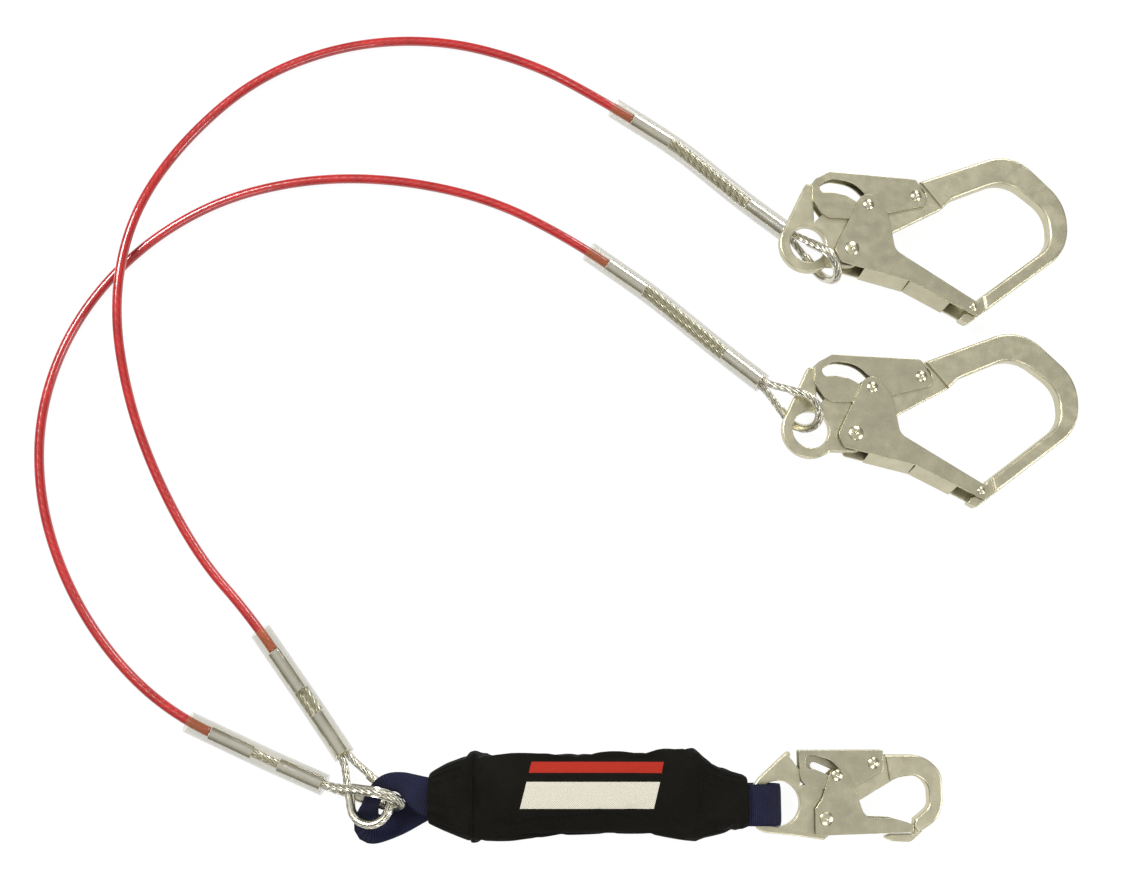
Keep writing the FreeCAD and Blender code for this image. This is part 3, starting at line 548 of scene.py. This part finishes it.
ENDS = {}
for leg, data in LEGS.items():
    straight = []
    for place in ("pack", "hook"):
        end = ENDS[leg, place] = Termination(*data[place])
        straight.append([end.points[0] - end.ways[0] * d for d in (JACKET_GAP, STRAIGHT)])
    route = straight[0] + [Vector(p) for p in data["route"]] + straight[1][::-1]
    line = nurbs_line([p * MM for p in route])
    jacket = tubes(leg + "_jacket", [line], JACKET / 2 * MM, 24, MATERIALS["jacket"])
    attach(jacket, ROOT)
    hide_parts(leg + "_cable")

for (leg, place), end in ENDS.items():
    rope = laid_rope("%s_%s_rope" % (leg, place), end.line(), ROPE * MM, MATERIALS["strand"])
    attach(rope, ROOT)
    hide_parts("%s_%s_eye_rope" % (leg, place))


# ---- pack cover ------------------------------------------------------------------
# x, centre y, half width, bottom, top, gathering from 0 to 1
COVER_ROWS = [
    (-222, -229.5, 18.0, 1.2, 28.6, 1.0), (-216, -229.1, 21.6, 1.0, 30.4, 0.9),
    (-208, -228.5, 26.0, 0.8, 32.4, 0.6), (-198, -228.0, 30.6, 0.5, 34.0, 0.3),
    (-191, -227.8, 32.4, 0.4, 34.3, 0.15), (-188.5, -227.8, 33.8, 0.2, 34.9, 0.05),
    (-180, -227.9, 33.0, 0.2, 34.8, 0), (-161, -228, 32.2, 0.2, 34.6, 0),
    (-125, -227, 31.4, 0.2, 34.6, 0), (-90, -226.4, 31.7, 0.2, 34.6, 0),
    (-60, -226, 32.4, 0.2, 34.6, 0), (-32, -226, 33.4, 0.2, 34.8, 0),
    (-24, -226.6, 33.0, 0.3, 34.6, 0.1), (-18, -228.5, 29.2, 0.5, 33.6, 0.3),
    (-10, -229.6, 26.6, 0.7, 32.2, 0.5), (-2, -230.6, 23.6, 0.9, 30.8, 0.7),
    (6, -231.4, 20.6, 1.0, 29.4, 0.9), (10, -231.8, 19.6, 1.2, 29.0, 1.0),
    (14, -232.0, 18.2, 1.3, 28.2, 1.0),
]
COVER_SIDES = 112
SQUARENESS = 3.1           # power of the superellipse of a ring
START_SHARE = 0.975        # the pack swells out to its size in the simulation
PLEATS, PLEAT_DEPTH = 17, 0.035         # depths are shares of the ring's size
CREASE_DEPTH = 0.008
LIP, LIP_FLOOR = 1.6, 1.4  # how far inside the open ends the cloth's edge is turned
LIP_STEPS = (7.0, 3.5)
SEAMS = (-189, -22)        # x of the two seams across, which hold the cloth in
SEAM_HALF, SEAM_HOLD = 3.0, 0.8
HELD_ROWS = 4              # rows at each end that don't move
RING_END = 60              # a larger UV step than this is the end of a ring
PRESSURE, STEPS, MOST = 3.0, 18, 0.0035


def turned_in(row, way):
    """Two rows inside the open end that a row makes, the inmost first."""
    x, y, half, low, high, _ = row
    return [[x + way * d, y, half - LIP, low + LIP_FLOOR, high - LIP, 1.0] for d in LIP_STEPS]


def cover_rings():
    """Rings of the cover, turned in a little at both open ends, their UVs in millimetres,
    and how firmly each ring is held in the simulation."""
    rows = smooth_rows(COVER_ROWS, 2.0)
    rows = turned_in(rows[0], 1) + rows + turned_in(rows[-1], -1)[::-1]
    rings, uvs, weights = [], [], []
    for i, (x, y, half, low, high, gather) in enumerate(rows):
        middle, tall = (low + high) / 2, (high - low) / 2
        ring, where, length, before = [], [], 0.0, None
        for k in range(COVER_SIDES):
            turn = 2 * math.pi * (k + 0.5) / COVER_SIDES - math.pi / 2
            c, s = math.cos(turn), math.sin(turn)
            dy = math.copysign(abs(c) ** (2 / SQUARENESS), c)
            dz = math.copysign(abs(s) ** (2 / SQUARENESS), s)
            wobble = noise.noise(Vector((x * 0.05, turn * 1.2, 3.0)))
            pleat = math.sin(turn * PLEATS + 2.2 * wobble + 0.02 * x)
            crease = noise.noise(Vector((x * 0.035, turn * 2.2, 7.0)))
            shrink = START_SHARE - PLEAT_DEPTH * gather * (0.5 - 0.5 * pleat) + CREASE_DEPTH * crease
            point = Vector((x, y + dy * half * shrink, middle + dz * tall * shrink))
            if before is not None:
                length += (point - before).length
            before = point
            ring.append(point * MM)
            where.append((x, length))
        rings.append(ring)
        uvs.append(where)
        seam = min(abs(x - at) for at in SEAMS)
        held = i < HELD_ROWS or i >= len(rows) - HELD_ROWS
        weights.append(1.0 if held else max(0.0, SEAM_HOLD * (1 - seam / SEAM_HALF)))
    return rings, uvs, weights


def simulate(obj, weights, pressure, steps, most):
    """Inflate a cloth skin under pressure. No point moves by more than most."""
    group = obj.vertex_groups.new(name="held")
    for index, weight in enumerate(weights):
        if weight > 0:
            group.add([index], weight, "REPLACE")
    cloth = obj.modifiers.new("cloth", "CLOTH")
    settings = cloth.settings
    settings.use_pressure = True
    settings.uniform_pressure_force = pressure
    settings.effector_weights.gravity = 0
    settings.vertex_group_mass = "held"
    settings.shrink_min = -0.035
    settings.quality = 5
    cloth.point_cache.frame_end = steps
    scene = bpy.context.scene
    for step in range(1, steps + 1):
        scene.frame_set(step)
    view = bpy.context.evaluated_depsgraph_get()
    moved = [v.co.copy() for v in obj.evaluated_get(view).data.vertices]
    obj.modifiers.remove(cloth)
    scene.frame_set(1)
    for vertex, place in zip(obj.data.vertices, moved):
        shift = place - vertex.co
        if shift.length > most:
            shift *= most / shift.length
        vertex.co += shift
        vertex.co.z = max(vertex.co.z, 0.0)


def make_cover():
    """The pack's padded cover, swollen over the folded webbing."""
    rings, uvs, weights = cover_rings()
    cover = rings_mesh("cover_sleeve", rings, uvs, MATERIALS["cover"], closed=False)
    seams = cover.data.uv_layers[0].data
    for polygon in cover.data.polygons:        # the last side of a ring runs on
        values = [seams[i].uv[1] for i in polygon.loop_indices]
        if max(values) - min(values) > RING_END:
            for i in polygon.loop_indices:
                if seams[i].uv[1] < RING_END:
                    seams[i].uv[1] = max(values) + 2.0
    held = [weight for weight in weights for _ in range(COVER_SIDES)]
    simulate(cover, held, PRESSURE, STEPS, MOST)
    more = cover.modifiers.new("smooth", "SUBSURF")
    more.levels = more.render_levels = 1
    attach(cover, ROOT)
    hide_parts("pack_cover")


make_cover()


# ---- webbing ---------------------------------------------------------------------
def strap(name, rows, edge=0.5):
    """Woven strap through rows: centre x, y, z, heading of its width, half width,
    thickness, all in millimetres and degrees. UV: millimetres along and across."""
    centres = [Vector(row[:3]) for row in rows]
    lengths = travelled(centres)
    across = [-1 + 2 * k / 12 for k in range(13)]
    rings, uvs = [], []
    for i, row in enumerate(rows):
        heading, half, thick = row[3:6]
        tangent = (centres[min(i + 1, len(rows) - 1)] - centres[max(i - 1, 0)]).normalized()
        width = direction(heading)
        width = (width - tangent * width.dot(tangent)).normalized()
        up = tangent.cross(width)
        ring, where = [], []
        for side in (1, -1):
            for share in (across if side > 0 else across[::-1]):
                rise = thick / 2 * (1 - edge * abs(share) ** 8)
                point = centres[i] + width * (share * half) + up * (side * rise)
                ring.append(point * MM)
                where.append((lengths[i], share * half))
        rings.append(ring)
        uvs.append(where)
    return rings_mesh(name, rings, uvs, MATERIALS["web"])


LOOP_ROWS = [
    (-204, -229, 22, 90, 14, 3.0), (-222, -227.5, 22.3, 90, 14.2, 3.0),
    (-241, -217.7, 24.0, 94, 7.8, 3.4), (-253, -218.3, 26.1, 114, 6.6, 3.3),
    (-261, -226.5, 22.2, 142, 6.2, 5.0), (-265.3, -235.5, 14.5, 168, 6.4, 5.0),
    (-268, -246, 6.6, 192, 9.5, 3.8), (-265, -252.7, 3.4, 235, 11, 3.2),
    (-246, -248.8, 3.0, 287, 9.0, 3.0), (-222, -233.0, 6.5, 279, 12, 3.0),
    (-204, -229, 9.5, 270, 13, 3.0),
]
HOOK_WEB_TOP, HOOK_WEB_BOTTOM = 21.3, 7.3
HOOK_WEB_START, HOOK_WEB_FOLD = -14.0, 30.2
HOOK_WEB_Y, HOOK_WEB_HALF, WEB_THICK = -234.0, 15.0, 3.0


def hook_web_rows():
    """Two layers and the round turn through the harness hook's ring."""
    middle = (HOOK_WEB_TOP + HOOK_WEB_BOTTOM) / 2
    reach = (HOOK_WEB_TOP - HOOK_WEB_BOTTOM) / 2
    flat = [HOOK_WEB_START + k * 2.0 for k in range(22)]
    places = [(x, HOOK_WEB_TOP) for x in flat]
    for k in range(17):
        turn = math.pi / 2 - math.pi * k / 16
        places.append((HOOK_WEB_FOLD + reach * math.cos(turn), middle + reach * math.sin(turn)))
    places += [(x, HOOK_WEB_BOTTOM) for x in flat[::-1]]
    return [(x, HOOK_WEB_Y, z, 90, HOOK_WEB_HALF, WEB_THICK) for x, z in places]


cable_web = strap("cable_end_webbing", smooth_rows(LOOP_ROWS, 2.0))
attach(cable_web, ROOT)
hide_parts("cable_end_web_loop")

hook_web = strap("hook_end_webbing", hook_web_rows())
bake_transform(hook_web)
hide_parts("hook_end_web_loop")

# ---- CAD pieces: end of the node's name, finish -----------------------------------
FINISH = [
    ("_thimble", "thimble"), ("_ferrule_cable_side", "ferrule"), ("_ferrule_eye_side", "ferrule"),
    ("_sleeve", "sleeve"), ("_hook_body", "forged"), ("_gate", "pressed"),
    ("_lock_lever", "pressed"), ("_rivet", "rivet"), ("_nose_pin", "rivet"), ("_spring", "wire"),
    ("tear_webbing", "tear"), ("inner_wrap", "film"), ("backup_strap", "strap"),
    ("cover_closure_strip", "closure"), ("web_loop", "web"), ("pack_cover", "cover"),
    ("_cable", "jacket"), ("_eye_rope", "strand"),
]
for name, obj in NODES.items():
    finish = next(finish for ending, finish in FINISH if name.endswith(ending))
    obj.data.materials.clear()
    obj.data.materials.append(MATERIALS[finish])


# ---- floor and light -----------------------------------------------------------------
# brightness of the room by height, from the horizon (0) to overhead (1)
ROOM = [(0.0, 0.16), (0.30, 0.18), (0.62, 0.36), (0.90, 0.66), (1.0, 0.68)]
# name, place and size in millimetres, power in watts
LIGHTS = [
    ("key", (-900, 600, 1200), 500, 24), ("fill", (1300, -500, 700), 500, 9),
    ("front", (100, -1200, 800), 700, 6), ("back", (800, 1750, 1000), 800, 18),
]
LIGHTS_TO = mm(-100, 30, 0)
TABLE = 6000               # half of its side, in millimetres
TABLE_DROP = 0.0005        # keeps it clear of what lies on it, in metres


def stage():
    """White table, a room that is brighter overhead, and four area lights."""
    corners = [mm(x, y) for x, y in ((-TABLE, -TABLE), (TABLE, -TABLE), (TABLE, TABLE),
                                     (-TABLE, TABLE))]
    floor = new_mesh("floor", corners, [(0, 1, 2, 3)], smooth=False)
    floor.location.z = -TABLE_DROP
    s = Shader("white_table", Base_Color=(0.10, 0.10, 0.10, 1), Roughness=0.9,
               Emission_Color=(1, 1, 1, 1), Emission_Strength=0.93, Specular_IOR_Level=0.0)
    floor.data.materials.append(s.material)
    world = bpy.data.worlds.new("room")
    bpy.context.scene.world = world
    world.use_nodes = True
    tree = world.node_tree
    height = tree.nodes.new("ShaderNodeSeparateXYZ")
    room = tree.nodes.new("ShaderNodeValToRGB")
    tree.links.new(tree.nodes.new("ShaderNodeTexCoord").outputs["Generated"], height.inputs[0])
    tree.links.new(height.outputs[2], room.inputs[0])
    tree.links.new(room.outputs[0], tree.nodes["Background"].inputs[0])
    band = room.color_ramp
    while len(band.elements) < len(ROOM):
        band.elements.new(0.5)
    for element, (place, light) in zip(band.elements, ROOM):
        element.position = place
        element.color = (light, light, light * 0.99, 1)
    for name, place, size, power in LIGHTS:
        data = bpy.data.lights.new(name, "AREA")
        data.size = size * MM
        data.energy = power
        light = link(bpy.data.objects.new(name, data))
        light.location = mm(*place)
        light.rotation_euler = (LIGHTS_TO - mm(*place)).to_track_quat("-Z", "Y").to_euler()


stage()
